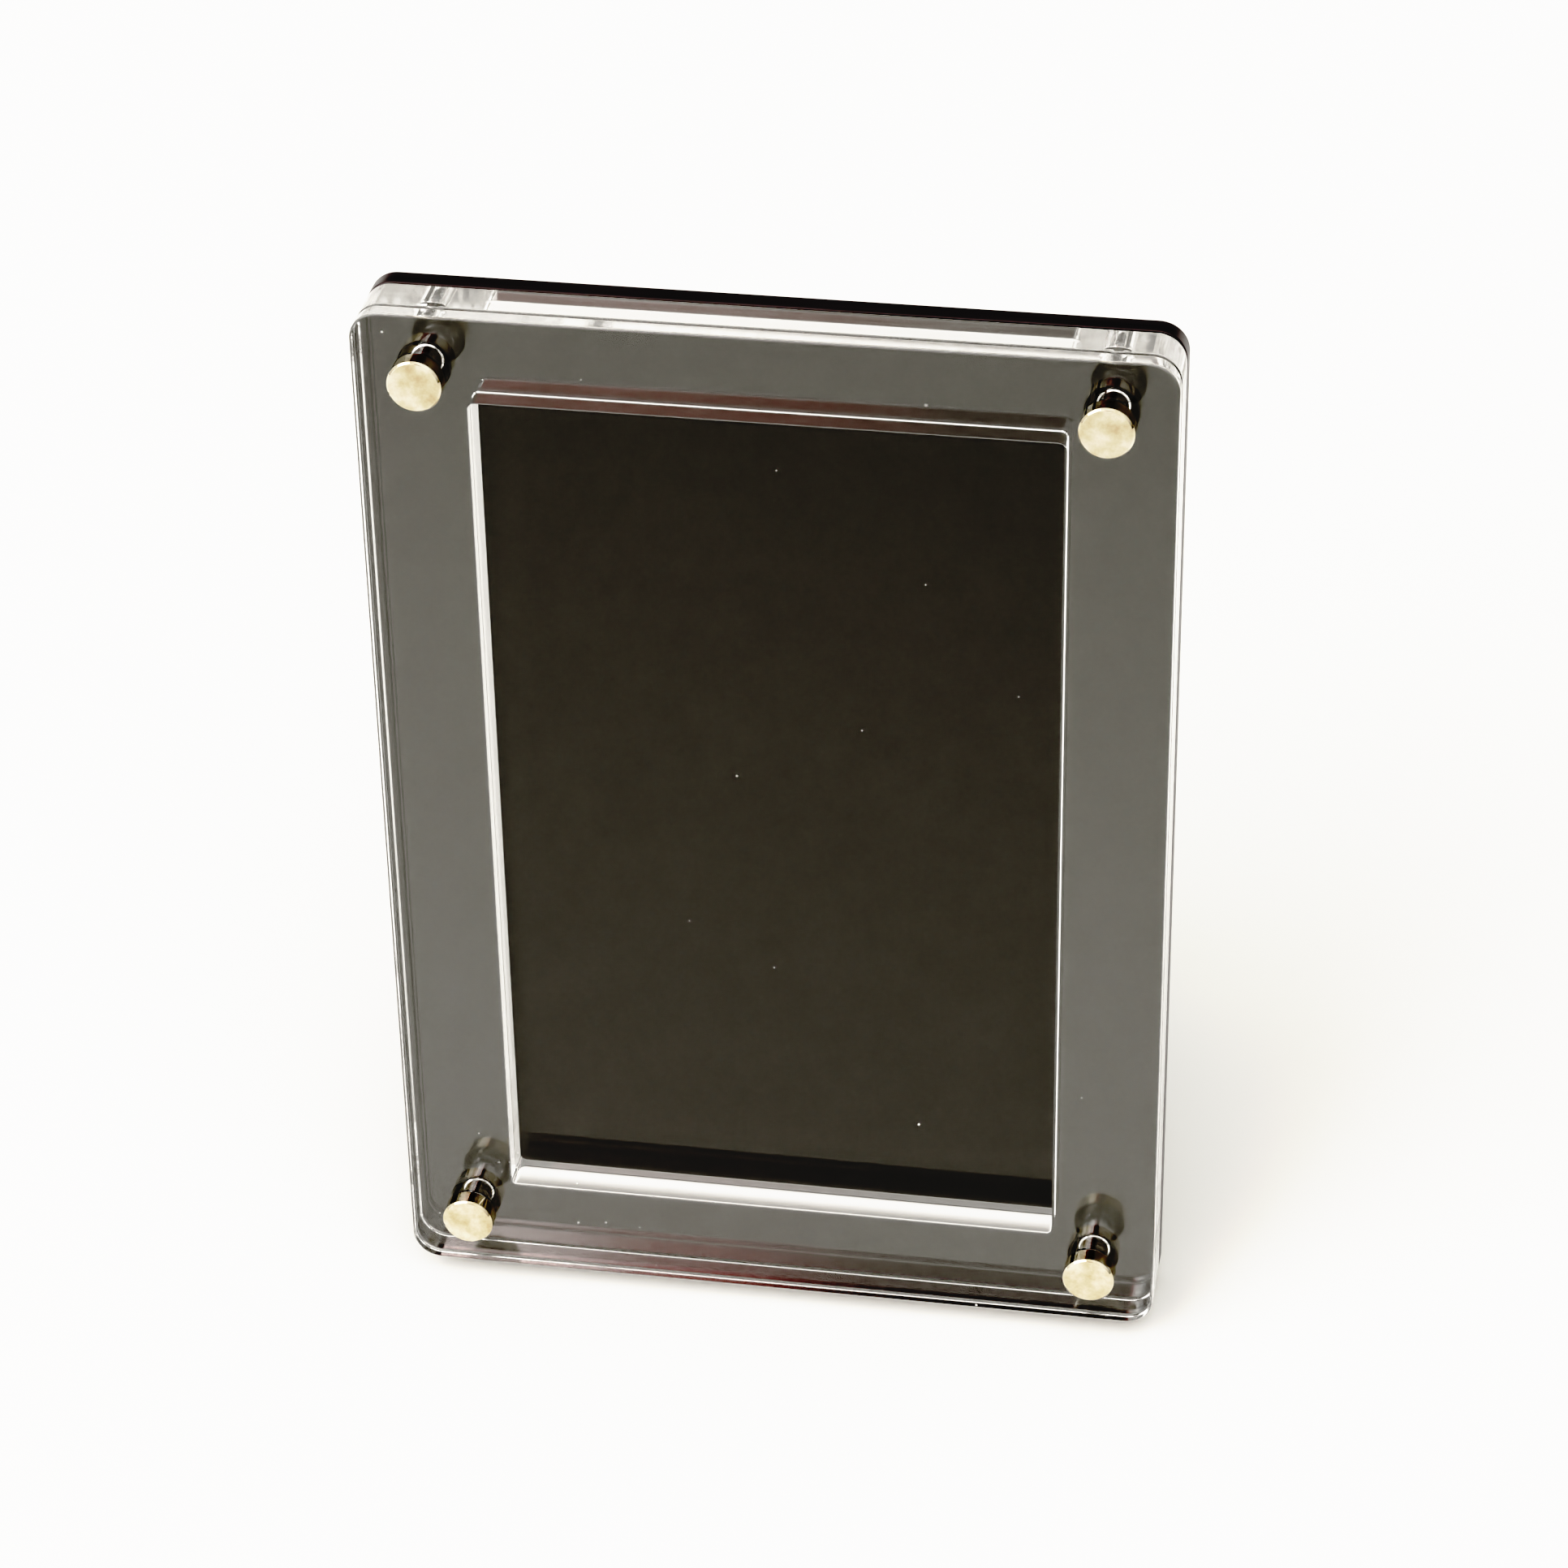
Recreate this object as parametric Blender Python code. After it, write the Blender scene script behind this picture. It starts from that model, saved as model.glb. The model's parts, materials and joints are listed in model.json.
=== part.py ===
"""Clear acrylic display frame with a black back plate, four capped screws and a folding rear leg.

Metres, +Z up. The front faces -Y and leans back. The stack of plates is built upright in its own axes
(X to the right, Y from the front face to the back, Z up the plates) under one tilted empty, and the leg
in its own axes under an empty on the hinge axis.
"""

import math

import bmesh
import bpy
from mathutils import Matrix, Vector

# Driving dimensions
LEAN = math.radians(15.0)
LEG_OPENING = math.radians(30.0)
PLATE_WIDTH = 0.1000
PLATE_HEIGHT = 0.1425
CORNER_RADIUS = 0.0037
COVER_THICKNESS = 0.0024
BLOCK_THICKNESS = 0.0058
BACK_THICKNESS = 0.0030
PLATE_GAP = 0.00015
EDGE_BREAK = 0.00025
WINDOW_WIDTH = 0.0726
WINDOW_HEIGHT = 0.1178
WINDOW_CORNER_RADIUS = 0.0008

HOLE_INSET = 0.0083
HOLE_RADIUS = 0.0019
DRILL_OVERRUN = 0.0010
SCREW_RADIUS = 0.0015
SCREW_HEAD_RADIUS = 0.0033
SCREW_HEAD_HEIGHT = 0.0018
SCREW_TIP_CHAMFER = 0.0003
KNOB_RADIUS = 0.0034
KNOB_HEIGHT = 0.00235
KNOB_CHAMFER = 0.00035
KNOB_BORE_RADIUS = 0.0018
KNOB_BORE_DEPTH = 0.0017
SEAT_GAP = 0.00015
CLEARANCE = 0.0003

HINGE_HEIGHT = 0.0880
HINGE_LENGTH = 0.0240
LEAF_THICKNESS = 0.0008
LEAF_REACH = 0.0110
KNUCKLE_RADIUS = 0.0017
LEAF_INSET = 0.0001
LEAF_START = 0.0005
KNUCKLE_LENGTH = 0.0080
PIN_RADIUS = 0.0007
PIN_BORE_RADIUS = 0.0010
PIN_END = 0.0006
LEG_WIDTH = 0.0360
LEG_THICKNESS = 0.0030
LEG_CORNER_RADIUS = 0.0030
LEG_HEEL = 0.0064
NOTCH_DEPTH = 0.0026
FOOT_HEIGHT = 0.0030
SMALL_SCREW_SPACING = 0.0140
SMALL_SCREW_REACH = 0.0068
SMALL_SCREW_RADIUS = 0.0008
SMALL_HEAD_RADIUS = 0.0016
SMALL_HEAD_HEIGHT = 0.0006
SMALL_SCREW_DEPTH = 0.0020
SMALL_BORE_RADIUS = 0.0011

# Worked out from the dimensions above
BLOCK_FRONT = COVER_THICKNESS + PLATE_GAP
BACK_FRONT = BLOCK_FRONT + BLOCK_THICKNESS + PLATE_GAP
STACK_DEPTH = BACK_FRONT + BACK_THICKNESS
HOLE_X = PLATE_WIDTH / 2 - HOLE_INSET
HOLE_LOW = HOLE_INSET
HOLE_HIGH = PLATE_HEIGHT - HOLE_INSET
LEAF_FRONT = STACK_DEPTH + CLEARANCE
HINGE_DEPTH = LEAF_FRONT + KNUCKLE_RADIUS - LEAF_INSET
LEG_LEAF_BACK = KNUCKLE_RADIUS - LEAF_INSET
LEG_FACE = LEG_LEAF_BACK + CLEARANCE

CORNERS = {
    "top_left": (-HOLE_X, HOLE_HIGH),
    "top_right": (HOLE_X, HOLE_HIGH),
    "bottom_left": (-HOLE_X, HOLE_LOW),
    "bottom_right": (HOLE_X, HOLE_LOW),
}


def clear_scene():
    for item in list(bpy.data.objects):
        bpy.data.objects.remove(item, do_unlink=True)


def material(name, colour, roughness, metallic, alpha=1.0):
    made = bpy.data.materials.new(name)
    made.use_nodes = True
    shader = made.node_tree.nodes["Principled BSDF"]
    shader.inputs["Base Color"].default_value = (*colour, 1.0)
    shader.inputs["Roughness"].default_value = roughness
    shader.inputs["Metallic"].default_value = metallic
    shader.inputs["Alpha"].default_value = alpha
    made.diffuse_color = (*colour, alpha)
    return made


def empty(name, location, rotation_x, parent=None):
    made = bpy.data.objects.new(name, None)
    bpy.context.collection.objects.link(made)
    made.location = location
    made.rotation_euler = (rotation_x, 0.0, 0.0)
    made.parent = parent
    return made


def finished(name, mesh, surface, parent, location=(0.0, 0.0, 0.0)):
    """Link a bmesh as a named object with recalculated outward normals."""
    bmesh.ops.recalc_face_normals(mesh, faces=mesh.faces)
    data = bpy.data.meshes.new(name)
    mesh.to_mesh(data)
    mesh.free()
    made = bpy.data.objects.new(name, data)
    bpy.context.collection.objects.link(made)
    made.location = location
    made.parent = parent
    if surface is not None:
        data.materials.append(surface)
    return made


def smooth(item, degrees=30.0):
    item.data.shade_smooth()
    item.data.set_sharp_from_angle(angle=math.radians(degrees))


def rounded_outline(width, height, radius, steps=10):
    """Corner arcs of a rectangle centred on X = 0 that stands on Z = 0, anticlockwise."""
    points = []
    for turn, (side, level) in enumerate(((1, 0), (1, 1), (-1, 1), (-1, 0))):
        centre_x = side * (width / 2 - radius)
        centre_z = radius if level == 0 else height - radius
        for step in range(steps + 1):
            angle = math.radians(-90.0 + 90.0 * turn + 90.0 * step / steps)
            points.append((centre_x + radius * math.cos(angle), centre_z + radius * math.sin(angle)))
    return points


def slab(outline, front, back):
    """A closed prism between Y = front and Y = back on an outline of X and Z."""
    mesh = bmesh.new()
    face = mesh.faces.new([mesh.verts.new((x, front, z)) for x, z in outline])
    extruded = bmesh.ops.extrude_face_region(mesh, geom=[face])
    moved = [part for part in extruded["geom"] if isinstance(part, bmesh.types.BMVert)]
    bmesh.ops.translate(mesh, verts=moved, vec=(0.0, back - front, 0.0))
    return mesh


def box(low, high):
    mesh = bmesh.new()
    size = Vector(high) - Vector(low)
    centre = (Vector(high) + Vector(low)) / 2
    bmesh.ops.create_cube(mesh, size=1.0, matrix=Matrix.Translation(centre) @ Matrix.Diagonal((*size, 1.0)))
    return mesh


def turned(profile, segments=48):
    """A solid of revolution about Y from (radius, y) points that start and end on the axis."""
    mesh = bmesh.new()
    rings = []
    for radius, y in profile:
        if radius == 0.0:
            rings.append([mesh.verts.new((0.0, y, 0.0))])
            continue
        angles = [2 * math.pi * k / segments for k in range(segments)]
        rings.append([mesh.verts.new((radius * math.cos(a), y, radius * math.sin(a))) for a in angles])
    for ring, following in zip(rings, rings[1:]):
        for k in range(segments):
            after = (k + 1) % segments
            corners = [ring[k % len(ring)], ring[after % len(ring)]]
            corners += [following[after % len(following)], following[k % len(following)]]
            mesh.faces.new(list(dict.fromkeys(corners)))
    return mesh


def cylinder_x(radius, start, end, segments=40):
    """A round bar along X about the local origin."""
    mesh = turned([(0.0, start), (radius, start), (radius, end), (0.0, end)], segments)
    bmesh.ops.rotate(mesh, verts=mesh.verts, matrix=Matrix.Rotation(math.radians(-90.0), 3, "Z"))
    return mesh


def cutter(name, mesh, parent, location=(0.0, 0.0, 0.0)):
    made = finished(name, mesh, None, parent, location)
    made.hide_render = True
    made.display_type = "WIRE"
    return made


def combine(item, other, operation="DIFFERENCE"):
    change = item.modifiers.new(other.name, "BOOLEAN")
    change.operation = operation
    change.object = other
    change.solver = "EXACT"


def break_edges(item, width):
    bevel = item.modifiers.new("broken_edges", "BEVEL")
    bevel.width = width
    bevel.segments = 1
    bevel.limit_method = "ANGLE"
    bevel.angle_limit = math.radians(40.0)


def plates(stack, clear, black):
    """Front cover, window block and back plate, drilled for the four screws."""
    outline = rounded_outline(PLATE_WIDTH, PLATE_HEIGHT, CORNER_RADIUS)
    layers = (
        ("front_cover", 0.0, COVER_THICKNESS, clear),
        ("window_block", BLOCK_FRONT, BLOCK_FRONT + BLOCK_THICKNESS, clear),
        ("back_plate", BACK_FRONT, STACK_DEPTH, black),
    )
    start = -DRILL_OVERRUN
    end = STACK_DEPTH + DRILL_OVERRUN
    drills = []
    for corner, (x, z) in CORNERS.items():
        drill = turned([(0.0, start), (HOLE_RADIUS, start), (HOLE_RADIUS, end), (0.0, end)])
        drills.append(cutter("drill_" + corner, drill, stack, (x, 0.0, z)))
    made = {}
    for name, front, back, surface in layers:
        made[name] = finished(name, slab(outline, front, back), surface, stack)
        for drill in drills:
            combine(made[name], drill)
    opening = rounded_outline(WINDOW_WIDTH, WINDOW_HEIGHT, WINDOW_CORNER_RADIUS, steps=4)
    margin = (PLATE_HEIGHT - WINDOW_HEIGHT) / 2
    window = slab([(x, z + margin) for x, z in opening], 0.0, STACK_DEPTH)
    combine(made["window_block"], cutter("window_cutter", window, stack))
    for item in made.values():
        break_edges(item, EDGE_BREAK)


def knob_profile():
    """A blind cap: bore mouth at the seat, round wall, chamfered front face."""
    front = -SEAT_GAP - KNOB_HEIGHT
    return [
        (0.0, front),
        (KNOB_RADIUS - KNOB_CHAMFER, front),
        (KNOB_RADIUS, front + KNOB_CHAMFER),
        (KNOB_RADIUS, -SEAT_GAP),
        (KNOB_BORE_RADIUS, -SEAT_GAP),
        (KNOB_BORE_RADIUS, -SEAT_GAP - KNOB_BORE_DEPTH),
        (0.0, -SEAT_GAP - KNOB_BORE_DEPTH),
    ]


def screw_profile():
    """A round-headed screw from behind: tip inside the knob, head behind the back plate."""
    tip = -SEAT_GAP - KNOB_BORE_DEPTH + CLEARANCE
    seat = STACK_DEPTH + SEAT_GAP
    end = seat + SCREW_HEAD_HEIGHT
    return [
        (0.0, tip),
        (SCREW_RADIUS - SCREW_TIP_CHAMFER, tip),
        (SCREW_RADIUS, tip + SCREW_TIP_CHAMFER),
        (SCREW_RADIUS, seat),
        (SCREW_HEAD_RADIUS, seat),
        (SCREW_HEAD_RADIUS, end - KNOB_CHAMFER),
        (SCREW_HEAD_RADIUS - KNOB_CHAMFER, end),
        (0.0, end),
    ]


def corner_screws(stack, chrome, steel):
    for corner, (x, z) in CORNERS.items():
        smooth(finished("knob_" + corner, turned(knob_profile()), chrome, stack, (x, 0.0, z)))
        smooth(finished("screw_" + corner, turned(screw_profile(), 32), steel, stack, (x, 0.0, z)))


def small_screw(name, surface, parent, location, direction):
    """Head on the leaf at the local origin; the shank points along direction times Y."""
    profile = [
        (0.0, -SMALL_HEAD_HEIGHT),
        (SMALL_HEAD_RADIUS - EDGE_BREAK, -SMALL_HEAD_HEIGHT),
        (SMALL_HEAD_RADIUS, -SMALL_HEAD_HEIGHT + EDGE_BREAK),
        (SMALL_HEAD_RADIUS, 0.0),
        (SMALL_SCREW_RADIUS, 0.0),
        (SMALL_SCREW_RADIUS, LEAF_THICKNESS + SMALL_SCREW_DEPTH),
        (0.0, LEAF_THICKNESS + SMALL_SCREW_DEPTH),
    ]
    mesh = turned([(radius, y * direction) for radius, y in profile], 24)
    smooth(finished(name, mesh, surface, parent, location))


def small_bore(name, parent, location, direction):
    """A blind hole that clears a small screw's shank in the leaf and the panel behind it."""
    start = -CLEARANCE * direction
    end = (LEAF_THICKNESS + SMALL_SCREW_DEPTH + 2 * CLEARANCE) * direction
    mesh = turned([(0.0, start), (SMALL_BORE_RADIUS, start), (SMALL_BORE_RADIUS, end), (0.0, end)], 24)
    return cutter(name, mesh, parent, location)


def barrel(leaf, parent, centre):
    """Join the hinge's full-length round barrel to a leaf, ends just inside the leaf's own."""
    reach = HINGE_LENGTH / 2 - LEAF_INSET
    bar = cutter(leaf.name + "_barrel", cylinder_x(KNUCKLE_RADIUS, -reach, reach), parent, centre)
    combine(leaf, bar, "UNION")


def hinge(stack, leg, steel):
    """Two leaves, the pin and four screws. The fixed leaf points up, the other one down the leg."""
    half = HINGE_LENGTH / 2
    inner = KNUCKLE_LENGTH / 2
    axis = (0.0, HINGE_DEPTH, HINGE_HEIGHT)

    low = (-half, LEAF_FRONT, HINGE_HEIGHT + LEAF_START)
    high = (half, LEAF_FRONT + LEAF_THICKNESS, HINGE_HEIGHT + LEAF_REACH)
    fixed = finished("hinge_fixed_leaf", box(low, high), steel, stack)
    slot_low = (-inner - CLEARANCE, LEAF_FRONT - CLEARANCE, HINGE_HEIGHT - 2 * KNUCKLE_RADIUS)
    slot_high = (inner + CLEARANCE, LEAF_FRONT + 3 * KNUCKLE_RADIUS, HINGE_HEIGHT + KNUCKLE_RADIUS + CLEARANCE)
    barrel(fixed, stack, axis)
    combine(fixed, cutter("fixed_leaf_slot", box(slot_low, slot_high), stack))
    combine(fixed, cutter("fixed_leaf_bore", cylinder_x(PIN_BORE_RADIUS, -2 * half, 2 * half), stack, axis))

    low = (-half, LEG_LEAF_BACK - LEAF_THICKNESS, -LEAF_REACH)
    high = (half, LEG_LEAF_BACK, -LEAF_START)
    moving = finished("hinge_leg_leaf", box(low, high), steel, leg)
    barrel(moving, leg, (0.0, 0.0, 0.0))
    slot_reach = KNUCKLE_RADIUS + CLEARANCE
    for side in (-1, 1):
        edges = sorted((side * inner, side * (half + CLEARANCE)))
        slot = box((edges[0], -slot_reach, -slot_reach), (edges[1], 2 * slot_reach, slot_reach))
        combine(moving, cutter(f"leg_leaf_slot_{side}", slot, leg))
    combine(moving, cutter("leg_leaf_bore", cylinder_x(PIN_BORE_RADIUS, -2 * half, 2 * half), leg))

    smooth(finished("hinge_pin", cylinder_x(PIN_RADIUS, -half - PIN_END, half + PIN_END, 24), steel, stack, axis))
    return fixed, moving


def leg_parts(leg, black, rubber, length):
    """The leg panel with its two heels, and the pad whose sole lies flat on the table."""
    total = length + LEG_HEEL
    outline = rounded_outline(LEG_WIDTH, total, LEG_CORNER_RADIUS, steps=6)
    panel = slab([(x, z - length) for x, z in outline], LEG_FACE, LEG_FACE + LEG_THICKNESS)
    made = finished("leg_panel", panel, black, leg)
    half = HINGE_LENGTH / 2 + 2 * PIN_END + CLEARANCE
    notch = box((-half, 0.0, -NOTCH_DEPTH), (half, 2 * LEG_THICKNESS, 2 * LEG_HEEL))
    combine(made, cutter("leg_notch", notch, leg))

    sole_width = LEG_WIDTH - 2 * LEG_CORNER_RADIUS
    slope = math.tan(LEG_OPENING - LEAN)
    back = LEG_FACE + LEG_THICKNESS
    sole = -length - FOOT_HEIGHT
    pad = bmesh.new()
    profile = [(LEG_FACE, -length - SEAT_GAP), (back, -length - SEAT_GAP)]
    profile += [(back, sole - LEG_THICKNESS * slope), (LEG_FACE, sole)]
    side = pad.faces.new([pad.verts.new((-sole_width / 2, y, z)) for y, z in profile])
    grown = bmesh.ops.extrude_face_region(pad, geom=[side])
    moved = [part for part in grown["geom"] if isinstance(part, bmesh.types.BMVert)]
    bmesh.ops.translate(pad, verts=moved, vec=(sole_width, 0.0, 0.0))
    finished("leg_foot", pad, rubber, leg)
    return made


def fasten_hinge(stack, leg, fixed, moving, panel, steel):
    """Two small screws hold each leaf, in blind holes of the plate and the leg."""
    back_plate = bpy.data.objects["back_plate"]
    for side, word in ((-1, "left"), (1, "right")):
        x = side * SMALL_SCREW_SPACING / 2
        place = (x, LEAF_FRONT + LEAF_THICKNESS, HINGE_HEIGHT + SMALL_SCREW_REACH)
        bore = small_bore("plate_bore_" + word, stack, place, -1)
        combine(fixed, bore)
        combine(back_plate, bore)
        small_screw("hinge_screw_plate_" + word, steel, stack, place, -1)
        place = (x, LEG_LEAF_BACK - LEAF_THICKNESS, -SMALL_SCREW_REACH)
        bore = small_bore("leg_bore_" + word, leg, place, 1)
        combine(moving, bore)
        combine(panel, bore)
        small_screw("hinge_screw_leg_" + word, steel, leg, place, 1)


def lowest_corner():
    """Height of the back plate's broken rear bottom edge above the stack's own origin."""
    front_break = -(STACK_DEPTH - EDGE_BREAK) * math.sin(LEAN)
    rear_break = EDGE_BREAK * math.cos(LEAN) - STACK_DEPTH * math.sin(LEAN)
    return min(front_break, rear_break)


def leg_length(hinge_height):
    """Panel length below the hinge axis that puts the sole's front edge on the table."""
    angle = LEG_OPENING - LEAN
    return (hinge_height + LEG_FACE * math.sin(angle)) / math.cos(angle) - FOOT_HEIGHT


def centre_on_origin(stack):
    """Slide the model along Y so that its box stands centred over the origin."""
    bpy.context.view_layer.update()
    graph = bpy.context.evaluated_depsgraph_get()
    depths = []
    for item in bpy.data.objects:
        if item.type != "MESH" or item.hide_render:
            continue
        shape = item.evaluated_get(graph).to_mesh()
        depths += [(item.matrix_world @ vertex.co).y for vertex in shape.vertices]
    stack.location.y -= (min(depths) + max(depths)) / 2


def main():
    clear_scene()
    clear = material("clear_acrylic", (0.85, 0.87, 0.87), 0.04, 0.0, 0.30)
    black = material("black_acrylic", (0.012, 0.012, 0.012), 0.06, 0.0)
    chrome = material("chrome", (0.80, 0.78, 0.74), 0.06, 1.0)
    steel = material("steel", (0.55, 0.55, 0.56), 0.25, 1.0)
    rubber = material("foot_rubber", (0.02, 0.02, 0.02), 0.80, 0.0)

    stack = empty("stack_axes", (0.0, 0.0, -lowest_corner()), -LEAN)
    leg = empty("leg_axes", (0.0, HINGE_DEPTH, HINGE_HEIGHT), LEG_OPENING, stack)
    hinge_height = stack.location.z + HINGE_HEIGHT * math.cos(LEAN) - HINGE_DEPTH * math.sin(LEAN)

    plates(stack, clear, black)
    corner_screws(stack, chrome, steel)
    fixed, moving = hinge(stack, leg, steel)
    panel = leg_parts(leg, black, rubber, leg_length(hinge_height))
    fasten_hinge(stack, leg, fixed, moving, panel, steel)
    centre_on_origin(stack)


main()
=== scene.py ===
"""Looks of the clear acrylic display frame: two clear plates, a black one, knobs, screws, hinge and leg.

Shapes are worked out in the stack's own axes: x to the right, d from front to back, h up the plates. These
lean back with the plates, share the world's origin, and are turned into the world as each piece is made.
"""

import json
import math

import bmesh
import bpy
import numpy as np
from mathutils import Matrix, Vector
from mathutils.geometry import tessellate_polygon


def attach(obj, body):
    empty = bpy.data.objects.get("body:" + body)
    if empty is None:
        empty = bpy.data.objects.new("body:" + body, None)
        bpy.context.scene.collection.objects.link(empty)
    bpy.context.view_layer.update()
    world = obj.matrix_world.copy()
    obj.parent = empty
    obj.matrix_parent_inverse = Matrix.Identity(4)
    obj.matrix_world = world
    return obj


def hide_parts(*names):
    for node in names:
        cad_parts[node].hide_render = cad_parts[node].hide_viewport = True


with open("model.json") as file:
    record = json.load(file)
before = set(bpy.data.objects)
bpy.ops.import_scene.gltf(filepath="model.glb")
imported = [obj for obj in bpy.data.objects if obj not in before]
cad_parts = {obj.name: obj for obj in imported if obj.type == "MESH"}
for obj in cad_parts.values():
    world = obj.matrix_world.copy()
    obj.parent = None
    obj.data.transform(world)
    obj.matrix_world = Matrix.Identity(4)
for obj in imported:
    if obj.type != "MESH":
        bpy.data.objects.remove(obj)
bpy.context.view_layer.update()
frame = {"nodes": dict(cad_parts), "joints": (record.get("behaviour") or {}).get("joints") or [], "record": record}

# Sizes of the plates, in metres
CORNER_RADIUS = 0.0037
WINDOW_RADIUS = 0.0008
WINDOW_WIDTH = 0.0726
WINDOW_HEIGHT = 0.1178
HOLE_RADIUS = 0.0019
POLISHED_EDGE = 0.00035
HOLE_RIM = 0.00036

# Sizes of the knobs, screws, leg and hinge, in metres
KNOB_CHAMFER = 0.00026
KNOB_BORE = 0.0018
KNOB_BORE_DEPTH = 0.0017
KNOB_EASING = (0.00006, 0.00006, 0.00010, 0.00010, 0.00010)
SCREW_RADIUS = 0.0015
SCREW_HEAD_HEIGHT = 0.0018
SOCKET_ACROSS = 0.0020
SOCKET_MOUTH = 0.00215
SOCKET_DEPTH = 0.0012
SMALL_SCREW_RADIUS = 0.0008
SMALL_HEAD_HEIGHT = 0.00060
RECESS_DEPTH = 0.00040
LEG_ROUNDING = 0.00025
LEAF_ROUNDING = 0.00008
LEG_TURN = math.radians(15.0)

# Steps round the curves
ROUND_STEPS = 96
HOLE_STEPS = 72
SMALL_STEPS = 48
CORNER_STEPS = 24
EDGE_STEPS = 4

# Finishes: pairs of colours are the dark and the light end of an uneven tone
CLEAR_INDEX = 1.49
DUST_SCALE = 260.0
DUST = (0.90, 0.89, 0.87, 1.0)
BLACK_TONES = ((0.004, 0.004, 0.004, 1.0), (0.009, 0.009, 0.008, 1.0))
CUT_TONES = ((0.050, 0.045, 0.049, 1.0), (0.095, 0.084, 0.090, 1.0))
SATIN_TONES = ((0.050, 0.049, 0.049, 1.0), (0.100, 0.098, 0.096, 1.0))
NICKEL_STOPS = ((0.34, (0.54, 0.465, 0.32)), (0.62, (0.76, 0.715, 0.61)))
STEEL_TONES = ((0.42, 0.42, 0.43, 1.0), (0.66, 0.66, 0.66, 1.0))
RUBBER_TONES = ((0.014, 0.014, 0.014, 1.0), (0.040, 0.039, 0.037, 1.0))
SAWN_SCALE = (60.0, 900.0, 900.0)
ROLLED_SCALE = (40.0, 900.0, 900.0)

# Table and lamps: a stop is a place along the ramp and its colour
TABLE_REACH = 2.0
# Painted shade on the table: its white colour is darker towards the front, away from the frame, in place of less
# light falling there
TABLE_SHADE_STOPS = ((0.45, (0.78, 0.78, 0.77)), (0.95, (0.89, 0.89, 0.88)))
WARM = (1.0, 0.98, 0.93)
LAMP_WIDTH = 1.5
LAMP_HEIGHT = 1.2
LAMP_AIM = (0.0, 0.0, 0.05)
LAMPS = (
    ("soft_lamp", (-1.0, -0.7, 1.4), 11.0, True),
    ("fill_lamp", (0.45, 0.10, 1.5), 4.5, False),
)

# The room round the frame, by direction
OFF, ON = (0.0, 0.0, 0.0), (1.0, 1.0, 1.0)
SKY_STRENGTH = 0.88
BRIGHT_DIRECTION = (-0.20, -0.55, 0.80)
SKY_STOPS = ((0.0, 0.03), (0.42, 0.04), (0.66, 0.70), (0.85, 1.0))
WINDOW_DIRECTION = (-0.56, -0.81, 0.14)
WINDOW_STOPS = ((0.940, OFF), (0.950, ON))
PANE_SCALE = 3.5
PANE_STOPS = ((0.25, (0.02, 0.02, 0.02)), (0.35, (1.8, 1.8, 1.75)))
DIM_DIRECTION = (-0.10, -0.66, 0.73)
DIM_STOPS = ((0.955, OFF), (0.975, ON))
SIDE_STOPS = ((0.42, OFF), (0.44, ON))
MOTTLE_SCALE = 22.0
MOTTLE_STOPS = ((0.40, OFF), (0.60, ON))
BROWN = (0.98, 0.54, 0.52, 1.0)
DEEP_BROWN = (0.62, 0.30, 0.29, 1.0)
DARK = (0.25, 0.20, 0.20, 1.0)

# Camera and tone: the camera's right, up and backward axes as rows, and light in against light out
LENS = 111.55
SENSOR = 36.0
NEAR_LIMIT = 0.01
CAMERA_PLACE = (0.0946576, -0.4111477, 0.5257977)
CAMERA_AXES = (
    (0.985145, 0.160851, -0.060144),
    (-0.078388, 0.732819, 0.675893),
    (0.152793, -0.661138, 0.734541),
)
LIGHT_BOUNCES = 160
CONTRAST = (
    (0.0, 0.0), (0.05, 0.003), (0.075, 0.005), (0.09, 0.009), (0.105, 0.030), (0.118, 0.061), (0.14, 0.112),
    (0.168, 0.178), (0.22, 0.275), (0.34, 0.48), (0.46, 0.71), (0.55, 0.83), (0.62, 0.91), (0.72, 0.955),
    (0.90, 0.978), (1.0, 0.986),
)

# Axes
JOINTS = {joint["name"]: joint for joint in frame["joints"]}
RIGHT = np.array((1.0, 0.0, 0.0))
BACK = -np.array(JOINTS["cover_lift"]["axis"])
UP = np.cross(RIGHT, BACK)
STACK = np.stack([RIGHT, BACK, UP])
LEG_AXES = np.array((
    (1, 0, 0),
    (0, math.cos(LEG_TURN), math.sin(LEG_TURN)),
    (0, -math.sin(LEG_TURN), math.cos(LEG_TURN)),
))
CORNERS = ("top_left", "top_right", "bottom_left", "bottom_right")


# ---------------------------------------------------------------- places

def span(node, axes=STACK):
    """Lowest and highest place of a CAD node along three axes."""
    mesh = frame["nodes"][node].data
    places = np.empty(len(mesh.vertices) * 3)
    mesh.vertices.foreach_get("co", places)
    along = places.reshape(-1, 3) @ axes.T
    return along.min(0), along.max(0)


def knob_centre(corner):
    """A knob's axis in the stack's x and h."""
    place = STACK @ np.array(JOINTS["knob_" + corner + "_turn"]["pos_m"])
    return place[0], place[2]


HOLES = [knob_centre(corner) for corner in CORNERS]


# ---------------------------------------------------------------- surfaces

def grid_faces(rows, columns):
    """Quads of a grid of rows by columns, whose columns close into a ring."""
    row = np.arange(rows - 1)[:, None] * columns
    column = np.arange(columns)[None, :]
    after = (column + 1) % columns
    quads = [row + column, row + after, row + columns + after, row + columns + column]
    return np.stack(np.broadcast_arrays(*quads), axis=-1).reshape(-1, 4)


def linked(name, data):
    """A new object in the scene."""
    added = bpy.data.objects.new(name, data)
    bpy.context.scene.collection.objects.link(added)
    return added


def attached(piece, body, replaced):
    """A piece that rides a body in place of a CAD node."""
    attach(piece, body)
    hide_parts(replaced)


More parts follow.
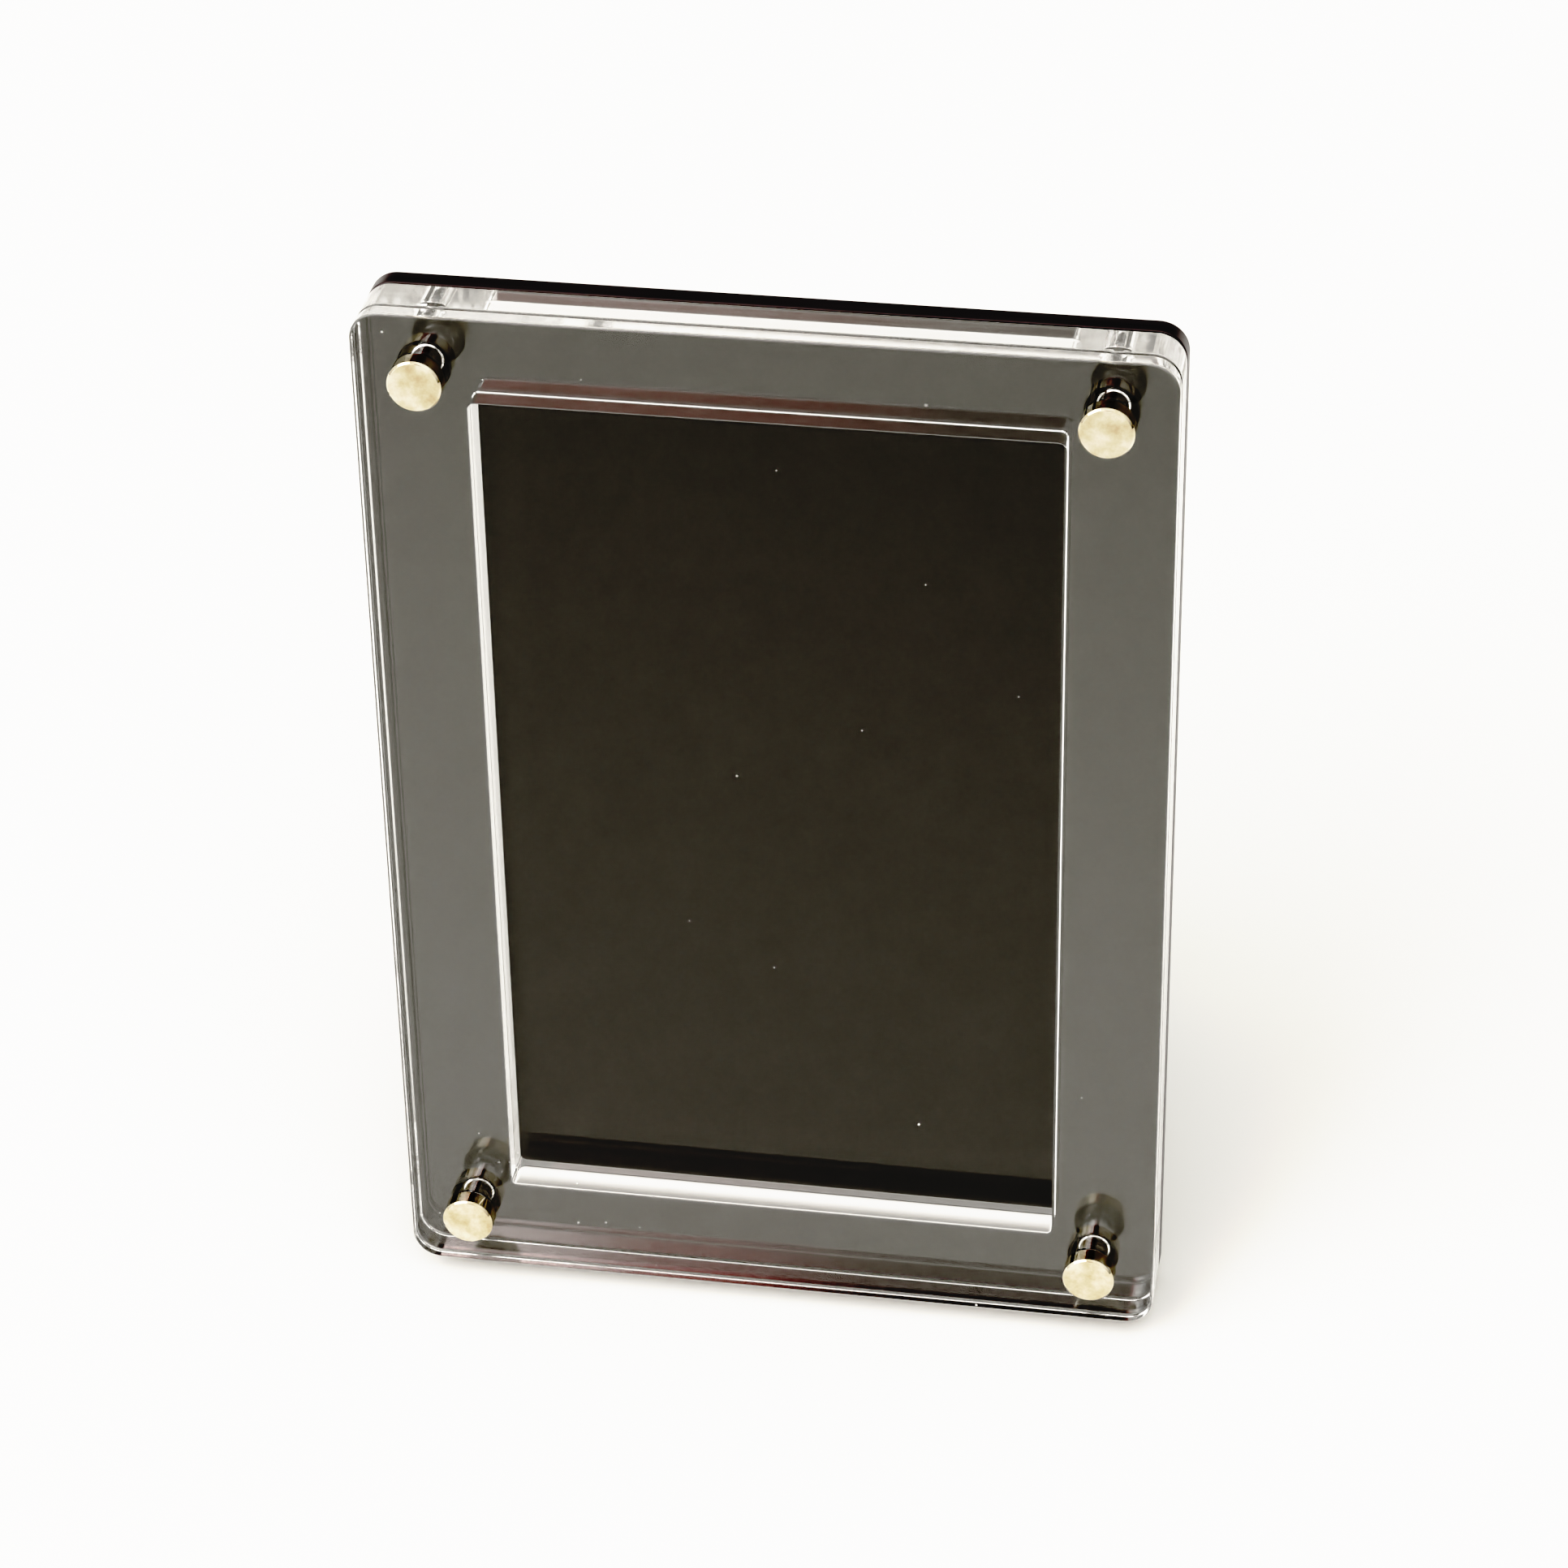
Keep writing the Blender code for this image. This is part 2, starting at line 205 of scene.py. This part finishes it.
def made(name, places, faces, finish, body, replaced, normals=None, axes=STACK, notes=None):
    """A finished piece: points and normals turned from the given axes into the world, faces outwards. Notes
    are three numbers a point for the finish to read."""
    mesh = bpy.data.meshes.new(name)
    mesh.from_pydata(np.asarray(places) @ axes, [], [list(map(int, face)) for face in faces])
    shape = bmesh.new()
    shape.from_mesh(mesh)
    bmesh.ops.recalc_face_normals(shape, faces=shape.faces)
    shape.to_mesh(mesh)
    shape.free()
    mesh.shade_smooth()
    if normals is None:
        mesh.set_sharp_from_angle(angle=math.radians(30.0))
    else:
        mesh.normals_split_custom_set_from_vertices(np.asarray(normals) @ axes)
    if notes is not None:
        mesh.attributes.new("notes", "FLOAT_VECTOR", "POINT").data.foreach_set("vector", notes.ravel())
    mesh.materials.append(finish)
    attached(linked(name, mesh), body, replaced)


def refined(name, node, finish, body, width, segments):
    """A CAD node's shape with its sharp edges rounded: triangles joined, flat runs merged, then bevelled."""
    shape = bmesh.new()
    shape.from_mesh(frame["nodes"][node].data)
    bmesh.ops.remove_doubles(shape, verts=shape.verts, dist=1e-6)
    bmesh.ops.dissolve_limit(shape, angle_limit=math.radians(0.5), verts=shape.verts, edges=shape.edges)
    mesh = bpy.data.meshes.new(name)
    shape.to_mesh(mesh)
    shape.free()
    mesh.shade_smooth()
    mesh.set_sharp_from_angle(angle=math.radians(30.0))
    mesh.materials.append(finish)
    piece = linked(name, mesh)
    bevel = piece.modifiers.new("rounded", "BEVEL")
    bevel.width = width
    bevel.segments = segments
    bevel.limit_method = "ANGLE"
    bevel.angle_limit = math.radians(35.0)
    bevel.harden_normals = True
    attached(piece, body, node)


def rounded_loop(low, high, radius, steps=CORNER_STEPS):
    """A rectangle's corner arcs: four centres, each half the size less the radius from the middle, and a
    direction (cos, sin) of an angle that runs once round."""
    angle = np.concatenate([np.linspace(0, math.pi / 2, steps + 1) + k * math.pi / 2 for k in range(4)])
    diagonal = np.repeat(np.arange(4) * math.pi / 2 + math.pi / 4, steps + 1)
    middle = (np.array(low) + np.array(high)) / 2
    half = (np.array(high) - np.array(low)) / 2 - radius
    sides = np.stack([np.sign(np.cos(diagonal)), np.sign(np.sin(diagonal))], axis=1)
    return middle + sides * half, np.stack([np.cos(angle), np.sin(angle)], axis=1), radius


def round_loop(centre, radius, steps=HOLE_STEPS):
    """A circle: one centre and a direction that runs once round."""
    angle = np.arange(steps) * 2 * math.pi / steps
    return np.tile(centre, (steps, 1)), np.stack([np.cos(angle), np.sin(angle)], axis=1), radius


def edge_profile(front, back, size, steps=EDGE_STEPS):
    """Across a plate's edge, a quarter round of the given size at each face. The inset is the size times one
    less the sine of the angle from the face, and the depth from the face is the size times one less its
    cosine. The normal's share outwards is the sine, and along the depth minus or plus the cosine."""
    angle = np.linspace(0, math.pi / 2, steps + 1)
    inset = size * (1 - np.sin(angle))
    depth = front + size * (1 - np.cos(angle))
    out = np.concatenate([np.sin(angle), np.sin(angle)[::-1]])
    deep = np.concatenate([-np.cos(angle), np.cos(angle)[::-1]])
    both = np.concatenate([depth, (front + back - depth)[::-1]])
    return np.concatenate([inset, inset[::-1]]), both, out, deep


def plate(front, back, outline, openings, size, rim):
    """A flat plate: each loop swept across its edge profile, and both faces filled between the loops.
    Every edge meets its faces at a tangent, so one normal serves a point's wall and face alike.
    Notes hold 1 in x on the outline's wall, 1 in y where that wall faces upwards, and 0 on the faces."""
    places, normals, notes, faces, rims, base = [], [], [], [], [], 0
    for order, (centres, ways, radius) in enumerate([outline, *openings]):
        is_outline = order == 0
        way = 1.0 if is_outline else -1.0
        inset, depth, out, deep = edge_profile(front, back, size if is_outline else rim)
        flat = centres[None] + ways[None] * (radius - way * inset)[:, None, None]
        facing = way * ways[None] * out[:, None, None]
        shape = flat.shape[:2]
        rows, turned_in, wall = (np.broadcast_to(part[:, None], shape) for part in (depth, deep, out))
        places.append(np.stack([flat[..., 0], rows, flat[..., 1]], axis=-1).reshape(-1, 3))
        normals.append(np.stack([facing[..., 0], turned_in, facing[..., 1]], axis=-1).reshape(-1, 3))
        upward = np.clip(facing[..., 1], 0, 1) * is_outline
        notes.append(np.stack([wall * is_outline, upward, wall * 0], axis=-1).reshape(-1, 3))
        count = len(centres)
        faces += list(grid_faces(len(depth), count) + base)
        last = base + (len(depth) - 1) * count
        rims.append((base + np.arange(count), last + np.arange(count)))
        base = last + count
    places = np.concatenate(places)
    for face in (0, 1):
        loops = [[Vector((places[i][0], places[i][2], 0.0)) for i in pair[face]] for pair in rims]
        index = np.concatenate([pair[face] for pair in rims])
        faces += [index[list(corner)] for corner in tessellate_polygon(loops)]
    return places, faces, np.concatenate(normals), np.concatenate(notes)


def turned(profile, centre, steps):
    """A profile of (radius, depth) carried once round an axis along d. A radius may be a function of the
    angle. The two ends close on the axis. Notes hold each point's radius and depth."""
    angle = np.arange(steps) * 2 * math.pi / steps
    rows = profile[1:-1]
    radius = np.array([r(angle) if callable(r) else np.full(steps, r) for r, _ in rows])
    depth = np.array([np.full(steps, d) for _, d in rows])
    x = centre[0] + radius * np.cos(angle)
    h = centre[1] + radius * np.sin(angle)
    places = np.stack([x, depth, h], axis=-1).reshape(-1, 3)
    notes = np.stack([radius, depth, np.zeros_like(radius)], axis=-1).reshape(-1, 3)
    poles = np.array([(centre[0], profile[0][1], centre[1]), (centre[0], profile[-1][1], centre[1])])
    faces = list(grid_faces(len(rows), steps))
    for pole, start in ((len(places), 0), (len(places) + 1, (len(rows) - 1) * steps)):
        faces += [(pole, start + k, start + (k + 1) % steps) for k in range(steps)]
    ends = np.array([(0.0, profile[0][1], 0.0), (0.0, profile[-1][1], 0.0)])
    return np.concatenate([places, poles]), faces, np.concatenate([notes, ends])


def turned_normals(normals, steps):
    """The profile's normals (out, deep) carried round in the same way as its points."""
    angle = np.arange(steps) * 2 * math.pi / steps
    out = np.array(normals)[1:-1, :1]
    deep = np.broadcast_to(np.array(normals)[1:-1, 1:], (len(normals) - 2, steps))
    around = np.stack([out * np.cos(angle), deep, out * np.sin(angle)], axis=-1).reshape(-1, 3)
    return np.concatenate([around, [(0.0, normals[0][1], 0.0), (0.0, normals[-1][1], 0.0)]])


def eased(points, sizes, steps=EDGE_STEPS):
    """A profile whose inner corners are each replaced by a parabola cut back by size along both sides, and
    its normals: the path's direction turned by a right angle."""
    points = [np.array(point, float) for point in points]
    out, ways = [points[0]], [points[1] - points[0]]
    for before, corner, after, size in zip(points, points[1:], points[2:], sizes):
        start = corner + (before - corner) / np.linalg.norm(before - corner) * size
        end = corner + (after - corner) / np.linalg.norm(after - corner) * size
        for t in np.linspace(0, 1, steps + 1):
            out.append((1 - t) ** 2 * start + 2 * t * (1 - t) * corner + t * t * end)
            ways.append((1 - t) * (corner - start) + t * (end - corner))
    out.append(points[-1])
    ways.append(points[-1] - points[-2])
    ways = np.array(ways)
    ways /= np.linalg.norm(ways, axis=1)[:, None]
    return [tuple(point) for point in out], np.stack([ways[:, 1], -ways[:, 0]], axis=1)


def hexagon(across):
    """Distance from the centre to a hexagon's side at an angle: half the width over flats, divided by the
    cosine of the angle from the middle of that side."""
    return lambda angle: across / 2 / np.cos((angle % (math.pi / 3)) - math.pi / 6)


def cross(reach):
    """A four-lobed recess: the reach times one plus a third of the cosine of four times the angle."""
    return lambda angle: reach * (1 + 0.34 * np.cos(4 * angle))


# ---------------------------------------------------------------- finishes

class Value:
    """A socket in a node tree. Sums, products and comparisons on it add Math nodes."""

    def __init__(self, nodes, socket):
        self.nodes = nodes
        self.socket = socket

    def out(self, name):
        return Value(self.nodes, self.socket.node.outputs[name])

    def math(self, operation, other):
        return self.nodes.node("ShaderNodeMath", {"operation": operation}, {0: self, 1: other})

    def absolute(self):
        return self.nodes.node("ShaderNodeMath", {"operation": "ABSOLUTE"}, {0: self})

    def __add__(self, other):
        return self.math("ADD", other)

    def __sub__(self, other):
        return self.math("SUBTRACT", other)

    def __mul__(self, other):
        return self.math("MULTIPLY", other)

    def __gt__(self, other):
        return self.math("GREATER_THAN", other)

    def __lt__(self, other):
        return self.math("LESS_THAN", other)


class Nodes:
    """A node tree, and the few ways in which this file adds to one."""

    def __init__(self, tree):
        self.tree = tree

    def node(self, kind, settings=None, inputs=None):
        """A node of a type, with its settings, and its inputs linked or set. Gives its first output."""
        added = self.tree.nodes.new(kind)
        for key, value in (settings or {}).items():
            setattr(added, key, value)
        for key, value in (inputs or {}).items():
            if isinstance(value, Value):
                self.tree.links.new(value.socket, added.inputs[key])
            else:
                added.inputs[key].default_value = value
        return Value(self, added.outputs[0])

    def ramp(self, value, stops, interpolation="LINEAR"):
        """Colours along a value, from stops of (place, colour)."""
        ramp = self.node("ShaderNodeValToRGB", None, {"Fac": value})
        colours = ramp.socket.node.color_ramp
        colours.interpolation = interpolation
        while len(colours.elements) < len(stops):
            colours.elements.new(0.5)
        for element, (place, colour) in zip(colours.elements, stops):
            element.position = place
            element.color = (*colour, 1.0)
        return ramp

    def noise(self, where, scale, detail=3.0, roughness=0.5):
        return self.node("ShaderNodeTexNoise", None, {
            "Vector": where, "Scale": scale, "Detail": detail, "Roughness": roughness})

    def blend(self, mask, first, second):
        """Colour first where mask is 0, second where it is 1."""
        mixed = self.node("ShaderNodeMix", {"data_type": "RGBA"}, {0: mask, 6: first, 7: second})
        return Value(self, mixed.socket.node.outputs[2])


class Finish(Nodes):
    """A material with one Principled shader; constant sockets are set on the shader itself."""

    def __init__(self, name, colour, roughness, constants=None):
        self.material = bpy.data.materials.new(name)
        self.material.use_nodes = True
        super().__init__(self.material.node_tree)
        self.shader = self.tree.nodes["Principled BSDF"]
        self.output = self.tree.nodes["Material Output"]
        constants = {"Base Color": (*colour, 1.0), "Roughness": roughness, **(constants or {})}
        for key, value in constants.items():
            self.shader.inputs[key].default_value = value

    def drive(self, name, value):
        self.tree.links.new(value.socket, self.shader.inputs[name])

    def places(self, scale=(1.0, 1.0, 1.0)):
        """Object coordinates, scaled by a Mapping node."""
        own = self.node("ShaderNodeTexCoord").out("Object")
        return self.node("ShaderNodeMapping", None, {"Vector": own, "Scale": scale})

    def notes(self):
        """The three numbers that a piece's points carry."""
        carried = self.node("ShaderNodeAttribute", {"attribute_name": "notes"}).out("Vector")
        return self.node("ShaderNodeSeparateXYZ", None, {"Vector": carried})

    def bump(self, height, strength, distance):
        bumped = self.node("ShaderNodeBump", None, {
            "Height": height, "Strength": strength, "Distance": distance})
        self.drive("Normal", bumped)


def clear_finish(name):
    """Polished clear sheet: smooth faces with specks of dust, slightly rough cut edges, hazy where they face
    upwards. A speck is a ragged disc in one in six of the cells, of a size that varies with the cell."""
    finish = Finish(name, ON, 0.0, {"IOR": CLEAR_INDEX, "Transmission Weight": 1.0})
    where = finish.places()
    outer = finish.notes()
    finish.drive("Roughness", outer * (finish.noise(where, 700.0) * 0.10 + 0.02))
    cells = finish.node("ShaderNodeTexVoronoi", {"feature": "F1"}, {"Vector": where, "Scale": DUST_SCALE})
    chance = finish.node("ShaderNodeSeparateColor", None, {"Color": cells.out("Color")})
    ragged = cells.out("Distance") + finish.noise(where, 9000.0, 2.0) * 0.04
    speck = (ragged < chance * chance * 0.030 + 0.038) * (chance.out("Green") > 0.84)
    haze = outer.out("Y") * (finish.noise(finish.places(SAWN_SCALE), 1.0) * 0.12 + 0.07)
    dust = finish.node("ShaderNodeBsdfDiffuse", None, {"Color": DUST})
    mixed = finish.node("ShaderNodeMixShader", None, {0: speck.math("MAXIMUM", haze), 2: dust})
    finish.tree.links.new(finish.shader.outputs[0], mixed.socket.node.inputs[1])
    finish.tree.links.new(mixed.socket, finish.output.inputs["Surface"])
    return finish.material


def black_finish(name):
    """Gloss black sheet: mirror smooth faces with faint smears, and satin, slightly greyer cut edges. An
    edge is wherever the surface turns well away from the plates' front and back."""
    finish = Finish(name, (0.006, 0.006, 0.006), 0.0, {"IOR": CLEAR_INDEX})
    where = finish.places()
    own = finish.node("ShaderNodeTexCoord").out("Normal")
    facing = finish.node("ShaderNodeVectorMath", {"operation": "DOT_PRODUCT"}, {0: own, 1: tuple(BACK)})
    edge = facing.out("Value").absolute() < 0.80
    sawn = finish.noise(finish.places(SAWN_SCALE), 1.0)
    wiped = (finish.noise(where, 55.0, 4.0) - 0.60).math("MAXIMUM", 0.0) * 0.12
    shade = finish.blend(finish.noise(where, 1400.0, 2.0), *BLACK_TONES)
    finish.drive("Base Color", finish.blend(edge, shade, finish.blend(sawn, *CUT_TONES)))
    finish.drive("Roughness", wiped + edge * (sawn * 0.25 + 0.20))
    return finish.material


def satin_finish(name):
    """Black plate with a fine satin surface and paler rubbed patches."""
    finish = Finish(name, (0.06, 0.06, 0.06), 0.4)
    where = finish.places()
    rubbed = finish.noise(where, 70.0, 4.0)
    grain = finish.noise(where, 2600.0)
    finish.drive("Base Color", finish.blend(rubbed, *SATIN_TONES))
    finish.drive("Roughness", grain * 0.12 + rubbed * 0.12 + 0.24)
    finish.bump(grain, 0.2, 0.00003)
    return finish.material


def nickel_finish(name):
    """Warm nickel plate: fine turned rings, read from each point's radius, and a slightly uneven tone."""
    finish = Finish(name, (0.74, 0.68, 0.52), 0.05, {"Metallic": 1.0})
    rings = finish.node("ShaderNodeCombineXYZ", None, {"X": finish.notes()})
    ring = finish.noise(rings, 14000.0, 2.0, 0.6)
    cloud = finish.noise(finish.places(), 330.0, 5.0, 0.6)
    finish.drive("Base Color", finish.ramp(cloud, NICKEL_STOPS))
    finish.drive("Roughness", ring * 0.06 + cloud * 0.05)
    finish.bump(ring, 0.10, 0.00001)
    return finish.material


def steel_finish(name):
    """Satin zinc-plated steel: grain along x and cloudy roughness."""
    finish = Finish(name, (0.55, 0.55, 0.56), 0.25, {"Metallic": 1.0})
    grain = finish.noise(finish.places(ROLLED_SCALE), 1.0, 4.0)
    cloud = finish.noise(finish.places(), 300.0)
    finish.drive("Base Color", finish.blend(cloud, *STEEL_TONES))
    finish.drive("Roughness", grain * 0.25 + cloud * 0.15 + 0.10)
    finish.bump(grain, 0.15, 0.00005)
    return finish.material


def rubber_finish(name):
    """Matt black rubber with a fine moulded grain and a little dust in it."""
    finish = Finish(name, (0.02, 0.02, 0.02), 0.8)
    where = finish.places()
    grain = finish.noise(where, 3000.0, 4.0)
    finish.drive("Base Color", finish.blend(finish.noise(where, 400.0), *RUBBER_TONES))
    finish.drive("Roughness", grain * 0.2 + 0.65)
    finish.bump(grain, 0.4, 0.00008)
    return finish.material


CLEAR = clear_finish("clear_acrylic_polished")
BLACK = black_finish("black_acrylic_polished")
SATIN = satin_finish("black_acrylic_satin")
NICKEL = nickel_finish("nickel_turned")
STEEL = steel_finish("steel_satin")
RUBBER = rubber_finish("rubber_foot")
SLOT_FINISHES = {
    "clear_acrylic": CLEAR, "black_acrylic": BLACK, "chrome": NICKEL, "steel": STEEL, "foot_rubber": RUBBER}


# ---------------------------------------------------------------- pieces

def build_plates():
    """The cover, the thick plate with the window cut through it, and the black back plate."""
    low, high = span("window_block")
    middle = (low[2] + high[2]) / 2
    window = rounded_loop((-WINDOW_WIDTH / 2, middle - WINDOW_HEIGHT / 2),
                          (WINDOW_WIDTH / 2, middle + WINDOW_HEIGHT / 2), WINDOW_RADIUS)
    drilled = [round_loop(centre, HOLE_RADIUS) for centre in HOLES]
    for name, node, body, finish, slot, cuts in (
        ("cover_sheet", "front_cover", "cover", CLEAR, "clear_acrylic", drilled),
        ("window_surround", "window_block", "frame", CLEAR, "clear_acrylic", drilled + [window]),
        ("backing_sheet", "back_plate", "frame", BLACK, "black_acrylic", drilled),
    ):
        low, high = span(node)
        outline = rounded_loop((low[0], low[2]), (high[0], high[2]), CORNER_RADIUS)
        places, faces, normals, notes = plate(low[1], high[1], outline, cuts, POLISHED_EDGE, HOLE_RIM)
        made(name, places, faces, finish, body, node, normals, STACK, notes)


def build_knobs():
    """Round caps with a chamfered face and a blind bore for the screw's end."""
    for corner, centre in zip(CORNERS, HOLES):
        low, high = span("knob_" + corner)
        radius = (high[0] - low[0]) / 2
        front, seat = low[1], high[1]
        profile = [
            (0.0, front),
            (radius - KNOB_CHAMFER, front),
            (radius, front + KNOB_CHAMFER),
            (radius, seat),
            (KNOB_BORE, seat),
            (KNOB_BORE, seat - KNOB_BORE_DEPTH),
            (0.0, seat - KNOB_BORE_DEPTH),
        ]
        points, normals = eased(profile, KNOB_EASING)
        places, faces, notes = turned(points, centre, ROUND_STEPS)
        made("cap_" + corner, places, faces, NICKEL, corner + "_knob", "knob_" + corner,
             turned_normals(normals, ROUND_STEPS), STACK, notes)


def build_rear_screws():
    """The corner screws: a shank with a chamfered tip, and a low head with a six-sided socket."""
    for corner, centre in zip(CORNERS, HOLES):
        low, high = span("screw_" + corner)
        head = (high[0] - low[0]) / 2
        tip, end = low[1], high[1]
        seat = end - SCREW_HEAD_HEIGHT
        profile = [
            (0.0, tip),
            (SCREW_RADIUS - 0.0003, tip),
            (SCREW_RADIUS, tip + 0.0003),
            (SCREW_RADIUS, seat),
            (head - 0.00012, seat),
            (head, seat + 0.00012),
            (head, end - 0.00050),
            (head - 0.00015, end - 0.00022),
            (head - 0.00050, end),
            (hexagon(SOCKET_MOUTH), end),
            (hexagon(SOCKET_ACROSS), end - 0.00008),
            (hexagon(SOCKET_ACROSS), end - SOCKET_DEPTH),
            (0.0, end - SOCKET_DEPTH),
        ]
        places, faces, _ = turned(profile, centre, ROUND_STEPS)
        made("rear_screw_" + corner, places, faces, STEEL, "frame", "screw_" + corner)


def build_hinge_screws():
    """The leaves' screws, two in the plate and two in the leg: domed heads with a cross recess."""
    for side in ("left", "right"):
        for group, body, axes, way in (("plate", "frame", STACK, -1.0), ("leg", "leg", LEG_AXES, 1.0)):
            node = "hinge_screw_" + group + "_" + side
            low, high = span(node, axes)
            centre = ((low[0] + high[0]) / 2, (low[2] + high[2]) / 2)
            head = (high[0] - low[0]) / 2
            top, tip = (high[1], low[1]) if group == "plate" else (low[1], high[1])
            profile = [
                (0.0, top + way * RECESS_DEPTH),
                (cross(0.00045), top + way * RECESS_DEPTH),
                (cross(0.00062), top),
                (head - 0.00040, top),
                (head - 0.00015, top + way * 0.00012),
                (head, top + way * 0.00035),
                (head, top + way * SMALL_HEAD_HEIGHT),
                (SMALL_SCREW_RADIUS, top + way * SMALL_HEAD_HEIGHT),
                (SMALL_SCREW_RADIUS, tip - way * 0.0002),
                (SMALL_SCREW_RADIUS - 0.0002, tip),
                (0.0, tip),
            ]
            places, faces, _ = turned(profile, centre, SMALL_STEPS)
            made("small_screw_" + group + "_" + side, places, faces, STEEL, body, node, None, axes)


def build_leg():
    """The leg, its foot and the two hinge leaves."""
    refined("leg_blade", "leg_panel", SATIN, "leg", LEG_ROUNDING, 3)
    refined("foot_pad", "leg_foot", RUBBER, "leg", LEG_ROUNDING, 3)
    refined("leaf_upper", "hinge_fixed_leaf", STEEL, "frame", LEAF_ROUNDING, 2)
    refined("leaf_lower", "hinge_leg_leaf", STEEL, "leg", LEAF_ROUNDING, 2)


def finish_cad_nodes():
    """Each CAD node gets the finish of its slot, for the one that is shown as it is: the hinge's pin."""
    for part in frame["record"]["subparts"]:
        for place in frame["nodes"][part["node"]].material_slots:
            place.material = SLOT_FINISHES[part["material_slot"]]


# ---------------------------------------------------------------- stage

def build_table():
    """A white table top with painted shade: its colour is a little darker away from the frame towards the front.
    """
    mesh = bpy.data.meshes.new("table_top")
    reach = TABLE_REACH
    ring = [(-reach, -reach, 0.0), (reach, -reach, 0.0), (reach, reach, 0.0), (-reach, reach, 0.0)]
    mesh.from_pydata(ring, [], [(0, 1, 2, 3)])
    table = linked("table_top", mesh)
    surface = Finish("table_white_painted_shade", (0.86, 0.86, 0.85), 0.9, {"Specular IOR Level": 0.0})
    along = surface.node("ShaderNodeSeparateXYZ", None, {"Vector": surface.places()}).out("Y")
    # Painted shade: the table's base colour darkens towards the front, away from the frame
    surface.drive("Base Color", surface.ramp(along + 1.0, TABLE_SHADE_STOPS))
    mesh.materials.append(surface.material)


def build_lamps():
    """A wide lamp from the front left, and a weaker one overhead that shiny surfaces don't mirror."""
    for name, place, energy, mirrored in LAMPS:
        light = bpy.data.lights.new(name, "AREA")
        light.shape = "RECTANGLE"
        light.size = LAMP_WIDTH
        light.size_y = LAMP_HEIGHT
        light.energy = energy
        light.color = WARM
        lamp = linked(name, light)
        lamp.location = place
        lamp.rotation_euler = (Vector(LAMP_AIM) - lamp.location).to_track_quat("-Z", "Y").to_euler()
        lamp.visible_glossy = mirrored


def build_room():
    """Soft room light by direction: bright in front and overhead and dark low down behind, with a barred
    window at the front left, and a mottled brown thing and a dark one side by side high in front."""
    world = bpy.data.worlds.new("studio")
    world.use_nodes = True
    bpy.context.scene.world = world
    room = Nodes(world.node_tree)
    where = room.node("ShaderNodeTexCoord").out("Generated")

    def towards(direction):
        """Cosine of the angle from a direction."""
        unit = Vector(direction).normalized()
        dot = room.node("ShaderNodeVectorMath", {"operation": "DOT_PRODUCT"}, {0: where, 1: unit})
        return dot.out("Value")

    def eased_ramp(value, stops):
        return room.ramp(value, stops, "EASE")

    tones = [(place, tuple(level * part for part in WARM)) for place, level in SKY_STOPS]
    sky = eased_ramp(towards(BRIGHT_DIRECTION) * 0.5 + 0.5, tones)
    bars = room.node("ShaderNodeTexWave", {"bands_direction": "X"}, {"Vector": where, "Scale": PANE_SCALE})
    panes = eased_ramp(bars.out("Fac"), PANE_STOPS)
    sky = room.blend(eased_ramp(towards(WINDOW_DIRECTION), WINDOW_STOPS), sky, panes)
    mottle = room.noise(where, MOTTLE_SCALE, 4.0)
    brown = room.blend(eased_ramp(mottle, MOTTLE_STOPS), DEEP_BROWN, BROWN)
    things = room.blend(eased_ramp(towards(RIGHT) * 0.5 + 0.5, SIDE_STOPS), brown, DARK)
    seen = room.blend(eased_ramp(towards(DIM_DIRECTION), DIM_STOPS), sky, things)
    background = room.tree.nodes["Background"]
    room.tree.links.new(seen.socket, background.inputs["Color"])
    background.inputs["Strength"].default_value = SKY_STRENGTH


def build_camera():
    """A long lens, high in front and a little to the right."""
    view = bpy.data.cameras.new("camera")
    view.sensor_width = SENSOR
    view.lens = LENS
    view.clip_start = NEAR_LIMIT
    camera = linked("camera", view)
    camera.matrix_world = Matrix.Translation(CAMERA_PLACE) @ Matrix(CAMERA_AXES).transposed().to_4x4()
    bpy.context.scene.camera = camera


def set_tone():
    """A firm tone curve, and enough light bounces for the clear plates' inner reflections."""
    scene = bpy.context.scene
    view = scene.view_settings
    view.view_transform = "Standard"
    view.use_curve_mapping = True
    curve = view.curve_mapping.curves[3]
    for place, level in CONTRAST[1:-1]:
        curve.points.new(place, level)
    curve.points[0].location = CONTRAST[0]
    curve.points[-1].location = CONTRAST[-1]
    view.curve_mapping.update()
    scene.cycles.max_bounces = LIGHT_BOUNCES
    scene.cycles.glossy_bounces = LIGHT_BOUNCES
    scene.cycles.transmission_bounces = LIGHT_BOUNCES


finish_cad_nodes()
build_plates()
build_knobs()
build_rear_screws()
build_hinge_screws()
build_leg()
build_table()
build_room()
build_lamps()
build_camera()
set_tone()
